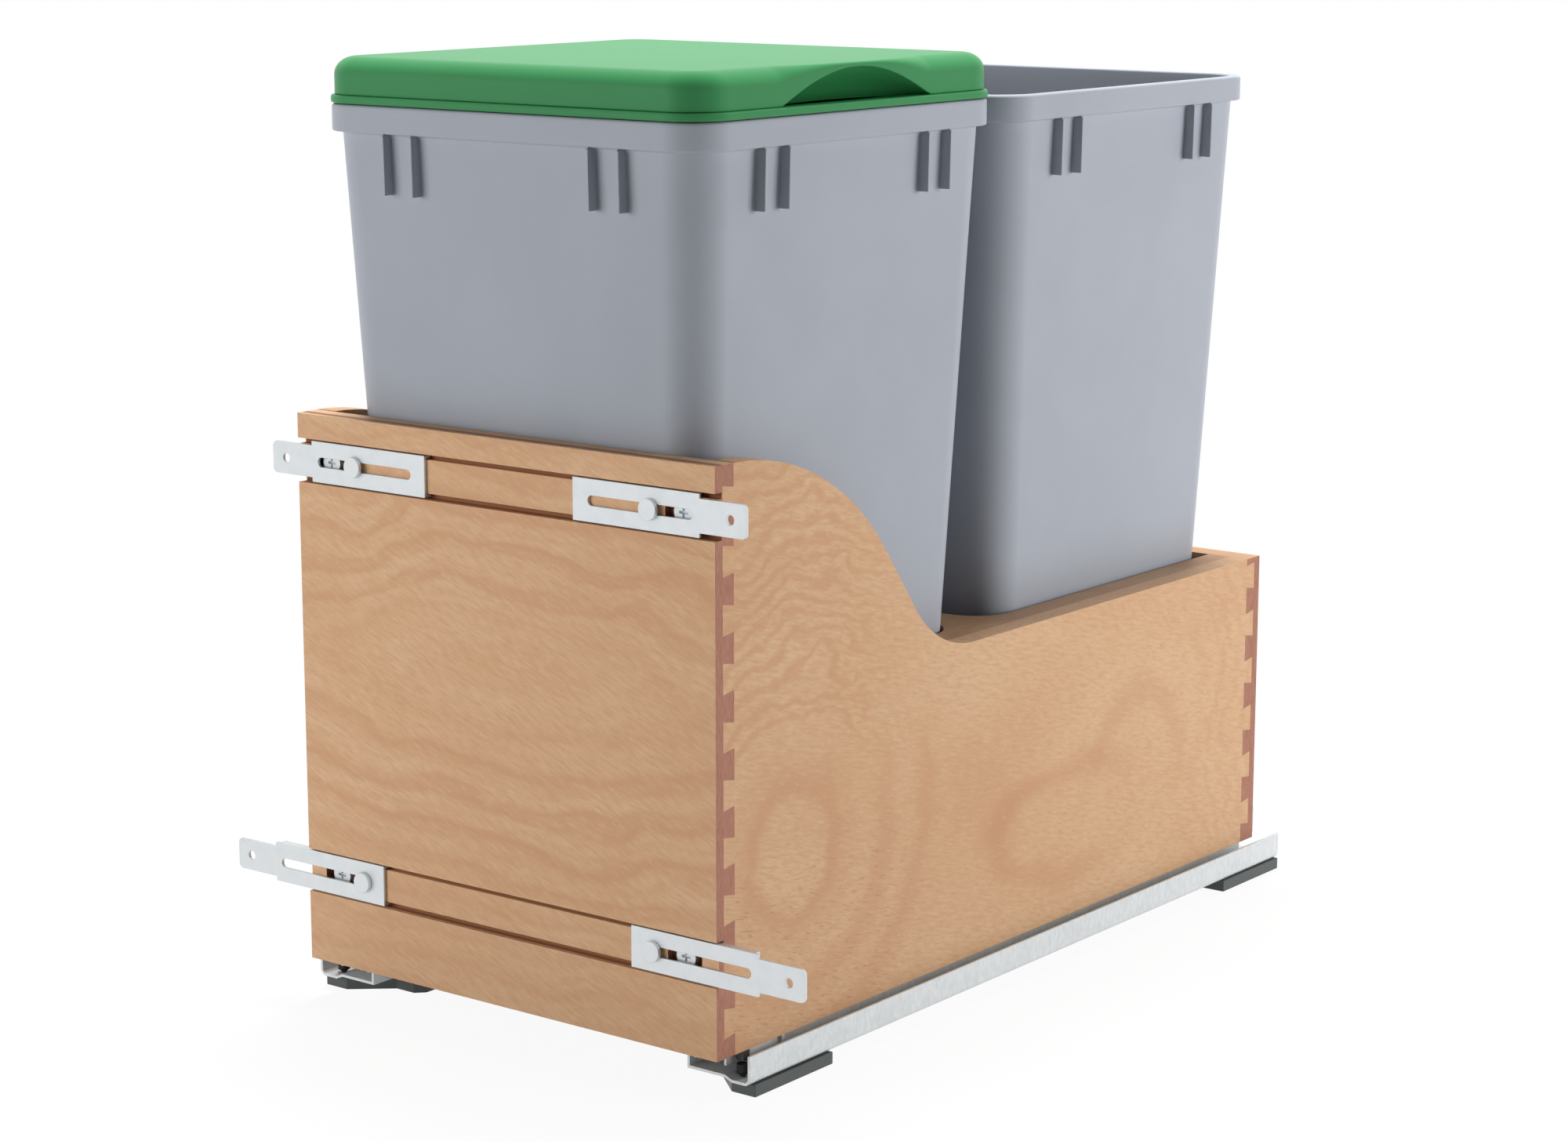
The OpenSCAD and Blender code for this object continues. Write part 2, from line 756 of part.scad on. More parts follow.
module can_lid() {
    color("mediumseagreen") in_tray() translate([0, can_front_y, lid_z]) difference() {
        union() {
            difference() {
                lid_dome(0);
                translate([0, 0, -cut]) lid_dome(lid_wall);
            }
            linear_extrude(lid_flange_h) difference() {
                round_rect(lid_flange, can_rim_r);
                lid_lip_hole();
            }
            translate([0, 0, -lid_lip]) linear_extrude(lid_lip + thin) difference() {
                round_rect(lid_lip_size, can_rim_r - can_wall);
                lid_lip_hole();
            }
            intersection() {
                scoop(lid_wall);
                lid_dome(0);
            }
            scoop_brim();
        }
        scoop(0);
    }
}

// Slides

module at_rail(left, y = 0) {
    in_tray() on_side(left) translate([rail_x, y, 0]) children();
}

module cabinet_rail_profile() {
    step_x = rail_floor_w + rail_step_w;
    translate([0, rail_floor_z]) square([rail_t, -rail_floor_z - 2 * seat]);
    translate([0, rail_floor_z]) square([rail_floor_w + thin, rail_t]);
    polygon([
        [rail_floor_w, rail_floor_z],
        [step_x, trough_z],
        [step_x, trough_z + rail_t],
        [rail_floor_w, rail_floor_z + rail_t]
    ]);
    translate([step_x - thin, trough_z]) square([rail_w - rail_bend_r - step_x + 2 * thin, rail_t]);
    intersection() {
        translate([rail_w - rail_bend_r, trough_z]) square(rail_bend_r);
        translate([rail_w - rail_bend_r, trough_z + rail_bend_r]) difference() {
            circle(rail_bend_r);
            circle(rail_bend_r - rail_t);
        }
    }
    translate([rail_w - rail_t, trough_z + rail_bend_r - thin])
        square([rail_t, rail_rise + rail_h - rail_bend_r + thin]);
}

// Rivet places of one rail
module at_rivets() {
    for (y = [foot_front_y, foot_rear_y], at = [foot_l / 4, 3 * foot_l / 4])
        translate([rivet_in, y + at, trough_z]) children();
}

module cabinet_rail(left) {
    color(zinc) at_rail(left) difference() {
        translate([0, rail_back, 0]) along_y(rail_l) cabinet_rail_profile();
        at_rivets() translate([0, 0, -cut]) cylinder(h = rail_t + 2 * cut, d = rivet_d + 2 * thin);
    }
}

module left_cabinet_rail() {
    cabinet_rail(true);
}

module right_cabinet_rail() {
    cabinet_rail(false);
}

// The middle rail is an H: a web between the two rows of balls, with a flange on each side
module middle_rail(left) {
    flange_low = track_z + seat + thin;
    flange_high = -slide_t - seat - thin;
    color(zinc) at_rail(left, mid_y) along_y(mid_l) {
        translate([mid_in, mid_z]) square([mid_w, slide_t]);
        for (x = [mid_in, mid_in + mid_w - slide_t])
            translate([x, flange_low]) square([slide_t, flange_high - flange_low]);
    }
}

module left_middle_rail() {
    middle_rail(true);
}

module right_middle_rail() {
    middle_rail(false);
}

// The pin of the rear hook runs through the rear board into the rear bracket
module hook_pin(d) {
    translate([hook_x, tray_rail_y + tray_rail_l - slide_t, hook_z])
        rod_y(d, box_d + rear_plate_t - tray_rail_y - tray_rail_l + slide_t);
}

module rear_hook_hole() {
    hook_pin(hook_d + 2 * slip);
}

module tray_rail(left) {
    color(zinc) {
        at_rail(left, tray_rail_y) {
            along_y(tray_rail_l) {
                translate([tray_rail_in, -slide_t]) square([tray_rail_w, slide_t]);
                for (x = [tray_rail_in, tray_rail_in + tray_rail_w - slide_t])
                    translate([x, -tray_rail_h]) square([slide_t, tray_rail_h]);
            }
            translate([tray_rail_in + tray_rail_w / 2 - hook_d, tray_rail_l - slide_t, -slide_t])
                cube([2 * hook_d, slide_t, slide_t + hook_z + hook_d]);
        }
        in_tray() on_side(left) hook_pin(hook_d);
    }
}

module left_tray_rail() {
    tray_rail(true);
}

module right_tray_rail() {
    tray_rail(false);
}

// Two rows of balls, each row a quarter of the cage's width in from its edge
module at_balls() {
    for (row = [1, 3], i = [0 : ball_count - 1])
        translate([
            cage_in + row * cage_w / 4,
            cage_y + cage_l / 2 + (i - (ball_count - 1) / 2) * ball_pitch,
            0
        ]) children();
}

module cage(left, z) {
    color(black_plastic) at_rail(left) difference() {
        translate([cage_in, cage_y, z - cage_t / 2]) cube([cage_w, cage_l, cage_t]);
        at_balls() translate([0, 0, z - cage_t]) cylinder(h = 2 * cage_t, d = ball_d + 2 * slip);
    }
}

module balls(left, z) {
    color("silver") at_rail(left) at_balls() translate([0, 0, z]) sphere(d = ball_d);
}

module left_lower_cage() {
    cage(true, low_ball_z);
}

module right_lower_cage() {
    cage(false, low_ball_z);
}

module left_upper_cage() {
    cage(true, high_ball_z);
}

module right_upper_cage() {
    cage(false, high_ball_z);
}

module left_lower_balls() {
    balls(true, low_ball_z);
}

module right_lower_balls() {
    balls(false, low_ball_z);
}

module left_upper_balls() {
    balls(true, high_ball_z);
}

module right_upper_balls() {
    balls(false, high_ball_z);
}

// A knob in the trough of each rail, at the foot of the step
module front_bumpers() {
    color(black_plastic) in_tray() both_sides()
        translate([rail_x + bumper_in, rail_back + bumper_back + bumper_d / 2, trough_z + rail_t + slip]) {
            cylinder(h = bumper_neck_h + thin, d = bumper_neck_d);
            translate([0, 0, bumper_neck_h]) cylinder(h = bumper_flare, d1 = bumper_neck_d, d2 = bumper_d);
            translate([0, 0, bumper_neck_h + bumper_flare - thin])
                cylinder(h = bumper_h - bumper_neck_h - bumper_flare + thin, d = bumper_d);
        }
}

// Clips and rear brackets

module front_clip(left) {
    color("gainsboro") at_rail(left, clip_y) translate([clip_in, 0, -clip_h]) difference() {
        cube([clip_w, clip_l, clip_h]);
        translate([clip_w - clip_recess_d, clip_l - clip_post_l - clip_recess_l, -cut])
            cube([clip_recess_d + cut, clip_recess_l, clip_h + 2 * cut]);
    }
}

module left_front_clip() {
    front_clip(true);
}

module right_front_clip() {
    front_clip(false);
}

module release_lever(left) {
    color(black_plastic) at_rail(left, clip_y - seat - lever_l)
        translate([clip_in, 0, -clip_h - seat / 2])
            cube([clip_w, lever_l, clip_h - seat / 2]);
}

module left_release_lever() {
    release_lever(true);
}

module right_release_lever() {
    release_lever(false);
}

module at_rear_screw() {
    translate([rear_screw_x, box_d, rear_screw_z]) children();
}

module rear_screw_hole() {
    at_rear_screw() translate([0, -pan_l, 0]) rod_y(pan_d, pan_l + cut);
}

module rear_bracket(left) {
    color(zinc) in_tray() on_side(left) difference() {
        translate([rear_plate_x, box_d, rear_plate_z]) cube([rear_plate_w, rear_plate_t, rear_plate_h]);
        hook_pin(hook_d + 2 * slip);
        at_rear_screw() translate([0, -cut, 0]) rod_y(pan_d + 2 * slip, rear_plate_t + 2 * cut);
    }
}

module left_rear_bracket() {
    rear_bracket(true);
}

module right_rear_bracket() {
    rear_bracket(false);
}

module rear_bracket_screws() {
    color(zinc) in_tray() both_sides() at_rear_screw() {
        translate([0, rear_plate_t, 0]) rod_y(rear_head_d, pan_head_t / 2);
        translate([0, -pan_l + slip, 0]) rod_y(pan_d - 2 * thin, pan_l + rear_plate_t);
    }
}

// Feet

// A foot drawn with its outer front corner at the origin, reaching to -X and +Y
module foot_outline() {
    difference() {
        polygon([
            [0, 0],
            [-foot_nose_w, 0],
            [-foot_wing_x, foot_slant],
            [-foot_w + foot_corner, foot_slant],
            [-foot_w, foot_slant + foot_corner],
            [-foot_w, foot_l - 2 * foot_corner],
            [-foot_w + 2 * foot_corner, foot_l],
            [0, foot_l]
        ]);
        translate([-floor_hole_x, floor_hole_y]) circle(d = floor_hole_d);
    }
}

module foot(left, y) {
    color(black_plastic) in_tray() on_side(left) difference() {
        translate([rail_side, y, trough_z - foot_h]) {
            linear_extrude(foot_h) foot_outline();
            translate([-rail_w + rail_t, foot_slant + foot_corner, foot_h - thin])
                cube([rail_floor_w - 2 * rail_t, foot_l - foot_slant - 2 * foot_corner, rail_step + thin]);
        }
        translate([rail_x, 0, 0]) at_rivets() translate([0, 0, foot_sole - foot_h])
            cylinder(h = foot_h, d = rivet_d + 2 * thin);
    }
}

module front_left_foot() {
    foot(true, foot_front_y);
}

module front_right_foot() {
    foot(false, foot_front_y);
}

module rear_left_foot() {
    foot(true, foot_rear_y);
}

module rear_right_foot() {
    foot(false, foot_rear_y);
}

module foot_rivets() {
    color(zinc) in_tray() both_sides() translate([rail_x, 0, 0]) at_rivets() {
        translate([0, 0, rail_t]) cylinder(h = rivet_head_t, d = rivet_head_d);
        translate([0, 0, rivet_low]) cylinder(h = rail_t + thin - rivet_low, d = rivet_d);
    }
}

front_panel();
rear_panel();
left_side_panel();
right_side_panel();
floor_panel();
can_deck();
deck_battens();
upper_left_bracket();
upper_right_bracket();
lower_left_bracket();
lower_right_bracket();
clamp_studs();
stud_inserts();
pan_head_screws();
front_can();
rear_can();
can_lid();
left_cabinet_rail();
right_cabinet_rail();
left_middle_rail();
right_middle_rail();
left_tray_rail();
right_tray_rail();
left_lower_cage();
right_lower_cage();
left_upper_cage();
right_upper_cage();
left_lower_balls();
right_lower_balls();
left_upper_balls();
right_upper_balls();
front_bumpers();
left_front_clip();
right_front_clip();
left_release_lever();
right_release_lever();
left_rear_bracket();
right_rear_bracket();
rear_bracket_screws();
front_left_foot();
front_right_foot();
rear_left_foot();
rear_right_foot();
foot_rivets();
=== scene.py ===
import json
import math

import bmesh
import bpy
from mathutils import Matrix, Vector


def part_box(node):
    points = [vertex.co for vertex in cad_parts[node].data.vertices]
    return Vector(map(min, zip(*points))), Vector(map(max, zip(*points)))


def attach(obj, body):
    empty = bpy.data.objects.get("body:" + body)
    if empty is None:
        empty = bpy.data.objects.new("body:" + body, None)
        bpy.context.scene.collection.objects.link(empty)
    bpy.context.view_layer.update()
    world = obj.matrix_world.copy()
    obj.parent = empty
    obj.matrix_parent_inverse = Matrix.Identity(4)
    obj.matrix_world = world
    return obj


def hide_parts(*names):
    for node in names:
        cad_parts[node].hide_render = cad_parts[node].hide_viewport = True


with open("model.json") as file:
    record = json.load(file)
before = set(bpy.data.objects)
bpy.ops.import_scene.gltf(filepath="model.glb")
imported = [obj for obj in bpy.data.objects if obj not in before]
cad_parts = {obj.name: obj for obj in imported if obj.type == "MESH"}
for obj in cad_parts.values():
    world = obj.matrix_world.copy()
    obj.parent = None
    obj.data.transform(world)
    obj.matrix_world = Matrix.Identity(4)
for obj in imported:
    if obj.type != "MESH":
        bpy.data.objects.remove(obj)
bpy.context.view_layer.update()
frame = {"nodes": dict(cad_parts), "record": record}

MM = 0.001
RECORD = frame["record"]
BODY = {node: body for body, nodes in RECORD["behaviour"]["bodies"].items() for node in nodes}
SLOT = {part["node"]: part["material_slot"] for part in RECORD["subparts"]}


# Finishes


def ink(red, green, blue):
    """A colour as it is seen on a screen, 0 to 255, as a shader takes it."""
    def linear(part):
        part /= 255
        return part / 12.92 if part <= 0.04045 else ((part + 0.055) / 1.055) ** 2.4
    return (linear(red), linear(green), linear(blue), 1.0)


def toned(colour, level):
    """The same colour, darker or lighter."""
    return tuple(part * level for part in colour[:3]) + (1.0,)


class Value:
    """A value that changes over a surface. Sums on it add Math nodes."""

    def __init__(self, finish, socket):
        self.finish = finish
        self.socket = socket

    def math(self, operation, *terms):
        return self.finish.add("ShaderNodeMath", {"operation": operation}, dict(enumerate(terms)))

    def __add__(self, other):
        return self.math("ADD", self, other)

    def __radd__(self, other):
        return self.math("ADD", other, self)

    def __sub__(self, other):
        return self.math("SUBTRACT", self, other)

    def __rsub__(self, other):
        return self.math("SUBTRACT", other, self)

    def __mul__(self, other):
        return self.math("MULTIPLY", self, other)

    def __rmul__(self, other):
        return self.math("MULTIPLY", other, self)

    def __truediv__(self, other):
        return self.math("DIVIDE", self, other)

    def __rtruediv__(self, other):
        return self.math("DIVIDE", other, self)

    def __pow__(self, other):
        return self.math("POWER", self, other)

    def __rpow__(self, other):
        return self.math("POWER", other, self)

    def __neg__(self):
        return self.math("MULTIPLY", self, -1.0)

    def __abs__(self):
        return self.math("ABSOLUTE", self)

    def most(self, other):
        return self.math("MAXIMUM", self, other)

    def bell(self):
        """1 where the value is 0, falling to 0 on both sides."""
        return self.math("EXPONENT", -(self * self))

    def between(self, low, high):
        """0 below low and 1 above high, with a smooth step."""
        return self.finish.add("ShaderNodeMapRange", {"interpolation_type": "SMOOTHSTEP"},
                               {"Value": self, "From Min": low, "From Max": high})

    def rings(self):
        """A wave between 0 and 1 that comes back at each whole number."""
        return self.math("SINE", self * (2 * math.pi)) * 0.5 + 0.5


class Finish:
    """The nodes of a material or of the room."""

    def __init__(self, owner):
        owner.use_nodes = True
        self.owner = owner
        self.nodes = owner.node_tree.nodes
        self.links = owner.node_tree.links
        self.nodes.clear()

    def add(self, kind, settings=None, sockets=None, out=0):
        """A node with its settings, then the values or links of its sockets."""
        node = self.nodes.new(kind)
        for name, setting in (settings or {}).items():
            setattr(node, name, setting)
        for name, value in (sockets or {}).items():
            if isinstance(value, Value):
                self.links.new(value.socket, node.inputs[name])
            else:
                node.inputs[name].default_value = value
        return Value(self, node.outputs[out]) if len(node.outputs) else None

    def parts(self, vector):
        split = self.add("ShaderNodeSeparateXYZ", None, {0: vector}).socket.node
        return [Value(self, out) for out in split.outputs]

    def vector(self, x, y, z):
        return self.add("ShaderNodeCombineXYZ", None, {"X": x, "Y": y, "Z": z})

    def place(self):
        """The place on the part, in millimetres."""
        spot = self.add("ShaderNodeTexCoord", out="Object")
        return self.add("ShaderNodeVectorMath", {"operation": "SCALE"}, {0: spot, "Scale": 1 / MM})

    def facing(self):
        """The way the surface faces, along the part's three axes."""
        return self.parts(self.add("ShaderNodeTexCoord", out="Normal"))

    def noise(self, vector, scale, detail=2.0, rough=0.5, twist=0.0):
        return self.add("ShaderNodeTexNoise", {"noise_dimensions": "3D"},
                        {"Vector": vector, "Scale": scale, "Detail": detail, "Roughness": rough,
                         "Distortion": twist})

    def grain(self, x, y, z, detail=2.0, rough=0.5, twist=0.0):
        """Noise that is drawn out or packed along each axis by the scale of its value."""
        return self.noise(self.vector(x, y, z), 1.0, detail, rough, twist)

    def mix(self, share, first, second):
        return self.add("ShaderNodeMix", {"data_type": "RGBA"}, {0: share, 6: first, 7: second},
                        out=2)

    def bump(self, height, depth, strength):
        """A normal from a height, where the depth is in millimetres."""
        return self.add("ShaderNodeBump", None,
                        {"Strength": strength, "Distance": depth * MM, "Height": height})

    def seen(self):
        """1 to the camera and in mirrors and glass, 0 where light only bounces."""
        path = self.add("ShaderNodeLightPath").socket.node.outputs
        camera, glossy, through = (Value(self, path["Is " + ray + " Ray"])
                                   for ray in ("Camera", "Glossy", "Transmission"))
        return camera.most(glossy).most(through)

    def show(self, shader, output="ShaderNodeOutputMaterial"):
        self.add(output, None, {"Surface": shader})
        return self.owner

    def surface(self, sockets):
        return self.show(self.add("ShaderNodeBsdfPrincipled", None, sockets))


def finish(name):
    return Finish(bpy.data.materials.new(name))


# Wood: a pale veneer with broad soft bands, fine strokes and red end grain

WOOD_PALE = ink(208, 171, 135)
WOOD_TAN = ink(203, 163, 126)
WOOD_BAND = ink(189, 139, 103)
WOOD_STROKE = ink(190, 146, 110)
WOOD_SHEEN = ink(217, 186, 152)
WOOD_FLECK = ink(160, 110, 74)
WOOD_END = ink(166, 118, 98)
WOOD_END_DARK = ink(146, 98, 82)
CUT_WOOD_AND_SHADE = ink(128, 80, 50)

FRONT_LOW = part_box("front_panel")[0] / MM
SIDE_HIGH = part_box("right_side_panel")[1] / MM
TRAY_FRONT = FRONT_LOW.y
TRAY_FOOT = FRONT_LOW.z

# Figure of the front board: middle and half size of its eye, from the tray's middle and foot
EYE_MIDDLE = (8.0, 178.0)
EYE_HALF = (250.0, 50.0)
EYE_DRIFT = 60.0
EYE_WAVE = 12.0

# Figure of the side boards: places from the tray's front and foot
FIRST_MIDDLE = (63.0, 97.0)
FIRST_HALF = (36.0, 34.0)
RINGS_RISE = (110, 165)
RINGS_FADE = (90, 190)
LOOP_FADE = (100, 160)
SECOND_MIDDLE = (330.0, 56.0)
SECOND_HALF = (72.0, 28.0)
SHORE_FADE = (330, 410)
PATCH_MIDDLE = (238.0, 82.0)
PATCH_HALF = (52.0, 40.0)
WAVE_MIDDLE = (396.0, 104.0)
WAVE_HALF = (75.0, 46.0)
WAVE_CREST = 120.0
WAVE_BEND = 0.017
WAVE_THICK = 14.0
FOLD_STEP = 19.0
FOLDS_RISE = (430, 490)
FLECKS_TOP = (60, 130)
FLECKS_END = (120, 230)

# Cuts in the front: how deep their dark wood and painted shade start and end, and the pale skin at
# the sides
CUT_START = (2.3, 3.2)
CUT_END = (7.2, 7.4)
CUT_SKIN = (0.6, 0.3)


def oval(u, v, middle, half):
    """0 in the middle of an oval, 1 on its outline, and more outside."""
    du = (u - middle[0]) / half[0]
    dv = (v - middle[1]) / half[1]
    return (du * du + dv * dv + 0.0001) ** 0.5


def eye_figure(f, u, v):
    """Soft bands that part round a long eye in the middle of the board."""
    v = v - TRAY_FOOT
    drift = f.grain(u * 0.0075, v * 0.011, 0.3, twist=0.3) - 0.5
    wave = f.grain(u * 0.02, v * 0.04, 5.1) - 0.5
    eye = oval(u, v + drift * EYE_DRIFT + wave * EYE_WAVE, EYE_MIDDLE, EYE_HALF)
    bands = (eye * 2.5 + drift * 0.6).rings().between(0.15, 1.0)
    thin = (eye * 6.1 + wave * 1.8).rings().between(0.3, 1.0)
    calm = 0.3 + 0.7 * eye.between(0.3, 1.1)
    fade = 1 - 0.45 * eye.between(1.4, 3.0)
    return (bands * 0.6 + thin * 0.24) * calm * fade


def island_figure(f, u, v):
    """Two islands with thin outlines, rings over the first and a wave over the second."""
    u = u - TRAY_FRONT
    v = v - TRAY_FOOT
    drift = f.grain(u * 0.009, v * 0.013, 1.7, twist=0.3) - 0.5
    ripple = f.grain(u * 0.03, v * 0.042, 4.2) - 0.5
    fine = f.grain(u * 0.1, v * 0.16, 2.2) - 0.5
    u = u + ripple * 26.0 + fine * 5.0
    v = v + ripple * 18.0 + drift * 30.0 + fine * 4.0

    first = oval(u, v, FIRST_MIDDLE, FIRST_HALF)
    outline = ((first - 1.0) / 0.17).bell() * 0.45 + ((first - 1.3) / 0.35).bell() * 0.25
    high = v.between(*RINGS_RISE) * (1 - u.between(*RINGS_FADE))
    rings = (first / 0.31 + ripple * 1.2 + drift).rings().between(0.2, 1.0)
    rings = rings * first.between(1.8, 2.3) * high
    loop = ((first - 2.3) / 0.3).bell() + ((first - 3.2) / 0.28).bell()
    loop = loop * (1 - v.between(*LOOP_FADE)) * 0.42

    second = oval(u, v, SECOND_MIDDLE, SECOND_HALF)
    shore = ((second - 1.12) / 0.22).bell() * (1 - u.between(*SHORE_FADE)) * 0.45
    patch = oval(u, v, PATCH_MIDDLE, PATCH_HALF).bell() * 0.45
    lean = u - WAVE_MIDDLE[0]
    wave = ((v - WAVE_CREST + lean * lean * WAVE_BEND) / WAVE_THICK).bell()
    wave = wave * oval(u, v, WAVE_MIDDLE, WAVE_HALF).bell()
    folds = (u / FOLD_STEP + v * 0.02 + drift * 4.0).rings().between(0.3, 1.0)
    folds = folds * u.between(*FOLDS_RISE) * 0.2
    return (outline + rings * 0.42 + loop + shore + patch + wave * 0.42 + folds) * 1.5


def plain_figure(f, u, v):
    """Slow bands along the board."""
    drift = f.grain(u * 0.006, v * 0.02, 0.9, detail=3.0, twist=0.3)
    return (drift * 5.0).rings().between(0.3, 1.0) * 0.6


def birch(name, along, across, figure, slant=0.0, level=1.0, cut_wood_and_shade=False, flecks=False):
    """Veneer with its grain along one axis and its figure over two."""
    f = finish(name)
    spot = dict(zip("xyz", f.parts(f.place())))
    facing = dict(zip("xyz", f.facing()))
    u, v = spot[along], spot[across]
    deep = spot[({"x", "y", "z"} - {along, across}).pop()]
    turn = math.radians(slant)
    run = u * math.cos(turn) + v * math.sin(turn)
    rise = v * math.cos(turn) - u * math.sin(turn)

    cloud = f.grain(u * 0.009, v * 0.017, deep * 0.02, detail=3.0, rough=0.6)
    strokes = f.grain(run * 0.11, rise * 0.55, deep * 0.3, detail=4.0, rough=0.68)
    pores = f.grain(run * 0.3, rise * 2.0, deep * 1.2, rough=0.55)
    sheen = strokes.between(0.52, 0.75) * 0.4 + pores.between(0.55, 0.8) * 0.2

    colour = f.mix(cloud.between(0.3, 0.7), toned(WOOD_TAN, level), toned(WOOD_PALE, level))
    colour = f.mix(figure(f, u, v) * (0.45 + 0.5 * strokes), colour, toned(WOOD_BAND, level))
    colour = f.mix((1 - strokes).between(0.42, 0.7) * 0.6, colour, toned(WOOD_STROKE, level))
    colour = f.mix(sheen, colour, toned(WOOD_SHEEN, level))
    if flecks:
        dash = f.grain(run * 0.13, rise, 7.3, detail=1.0, rough=0.4)
        low = 1 - (v - TRAY_FOOT).between(*FLECKS_TOP)
        near = 1 - (u - TRAY_FRONT).between(*FLECKS_END)
        colour = f.mix(dash.between(0.62, 0.72) * low * near * 0.45, colour, WOOD_FLECK)

    rows = f.grain(u * 0.05, v * 0.16, deep * 1.6, detail=3.0, rough=0.6)
    end = f.mix(rows.between(0.35, 0.7), WOOD_END, WOOD_END_DARK)
    colour = f.mix(abs(facing[along]).between(0.6, 0.85), colour, end)
    # A dark brown inside the saw cuts: the cut wood's darker tone with painted shade on top.
    if cut_wood_and_shade:
        inset = spot["y"] - TRAY_FRONT
        skin = abs(spot["x"]).between(*(SIDE_HIGH.x - depth for depth in CUT_SKIN))
        inside = inset.between(*CUT_START) * (1 - inset.between(*CUT_END)) * (1 - skin)
        colour = f.mix(inside * 0.9, colour, CUT_WOOD_AND_SHADE)
    return f.surface({
        "Base Color": colour,
        "Roughness": 0.46 + 0.16 * strokes,
        "Specular IOR Level": 0.3,
        "Normal": f.bump(strokes * 0.6 + pores * 0.4, 0.05, 0.4),
    })


# Plastics and metals


def moulded(name, colour, worn, rough=0.4, specular=0.5):
    """Moulded plastic: a fine skin, faint flow clouds, and scuffs that are paler and duller."""
    f = finish(name)
    where = f.place()
    x, y, z = f.parts(where)
    cloud = f.noise(where, 0.012, 3.0, 0.55, 0.3)
    skin = f.noise(where, 1.9, 2.0, 0.6)
    scuff = f.grain(x * 0.05, y * 0.05, z * 0.35, detail=4.0, rough=0.7, twist=0.6)
    scuff = scuff.between(0.62, 0.8)
    tone = f.mix(cloud.between(0.25, 0.75), toned(colour, 0.965), toned(colour, 1.03))
    return f.surface({
        "Base Color": f.mix(scuff * 0.14, tone, worn),
        "Roughness": rough - 0.04 + 0.08 * cloud + 0.1 * scuff,
        "Specular IOR Level": specular,
        "Normal": f.bump(skin, 0.03, 0.35),
    })


def bright_zinc(name):
    """Plated sheet: nearly white, with faint rolling lines and small dull spots."""
    f = finish(name)
    where = f.place()
    x, y, z = f.parts(where)
    lines = f.grain(x * 0.05, y * 1.4, z * 1.4, detail=3.0, rough=0.6)
    spots = f.noise(where, 0.12, 4.0, 0.65)
    return f.surface({
        "Base Color": f.mix(spots.between(0.35, 0.7), ink(219, 223, 225), ink(214, 219, 221)),
        "Metallic": 0.75,
        "Roughness": 0.4 + 0.05 * spots + 0.04 * lines,
        "Normal": f.bump(lines, 0.01, 0.4),
    })


def galvanised(name):
    """Dipped sheet: small crystal patches, rolling streaks and a dull bloom."""
    f = finish(name)
    where = f.place()
    x, y, z = f.parts(where)
    warp = f.noise(where, 0.25)
    cell = f.vector(x * 0.5 + warp, y * 0.5 + warp, z * 0.25)
    patch = f.add("ShaderNodeTexVoronoi", {"feature": "F1", "voronoi_dimensions": "3D"},
                  {"Vector": cell, "Scale": 1.0}, out="Color")
    crystal = f.parts(patch)[0]
    streak = f.grain(x * 0.6, y * 0.6, z * 0.08, detail=3.0, rough=0.6)
    bloom = f.noise(where, 0.03, 3.0, 0.6)
    tone = 0.35 * crystal + 0.4 * streak + 0.35 * bloom
    return f.surface({
        "Base Color": f.mix(tone.between(0.15, 0.95), ink(207, 211, 212), ink(226, 229, 230)),
        "Metallic": 0.45,
        "Roughness": 0.42 + 0.1 * crystal + 0.08 * bloom,
        "Normal": f.bump(crystal * 0.3 + streak, 0.006, 0.3),
    })


def turned_metal(name, colour, dull, rough):
    """Turned or rolled metal with a light film of oil and faint rings."""
    f = finish(name)
    where = f.place()
    film = f.noise(where, 0.18, 3.0, 0.6)
    rings = f.noise(where, 3.0)
    return f.surface({
        "Base Color": f.mix(film.between(0.35, 0.7), colour, dull),
        "Metallic": 1.0,
        "Roughness": rough + 0.14 * film,
        "Normal": f.bump(rings, 0.006, 0.3),
    })


FINISH = {
    "front_panel": birch("birch_front_board", "x", "z", eye_figure, slant=-22, level=1.04,
                         cut_wood_and_shade=True),
    "rear_panel": birch("birch_rear_board", "x", "z", plain_figure),
    "right_side_panel": birch("birch_side_boards", "y", "z", island_figure, slant=-14, level=0.93,
                              cut_wood_and_shade=True, flecks=True),
    # The deck, floor and battens take a darker copy of the birch: painted shade for the shade
    # between the bins.
    "can_deck": birch("birch_deck_painted_shade", "y", "x", plain_figure, level=0.72),
    "front_can": moulded("grey_bin_plastic", ink(158, 163, 172), ink(178, 182, 190), 0.42, 0.35),
    "can_lid": moulded("green_lid_plastic", ink(46, 124, 71), ink(84, 156, 104), 0.4, 0.34),
    "upper_left_bracket": bright_zinc("bright_zinc_plate"),
    "left_cabinet_rail": galvanised("galvanised_rail"),
    "left_lower_balls": turned_metal("ball_steel", ink(205, 207, 210), ink(176, 178, 182), 0.12),
    "stud_inserts": turned_metal("brass_insert", ink(205, 170, 95), ink(170, 135, 70), 0.28),
    "left_lower_cage": moulded("dark_cage_plastic", ink(62, 64, 66), ink(96, 98, 100), 0.45),
    "left_front_clip": moulded("pale_clip_plastic", ink(196, 198, 198), ink(222, 222, 220), 0.42),
    "front_left_foot": moulded("foot_plastic", ink(70, 75, 74), ink(108, 112, 110), 0.42),
    "front_bumpers": moulded("bumper_rubber", ink(32, 32, 33), ink(62, 62, 62), 0.6, 0.3),
}
LIKE = {
    "left_side_panel": "right_side_panel", "floor_panel": "can_deck", "deck_battens": "can_deck",
    "rear_can": "front_can",
    "right_release_lever": "left_lower_cage", "left_release_lever": "left_lower_cage",
}
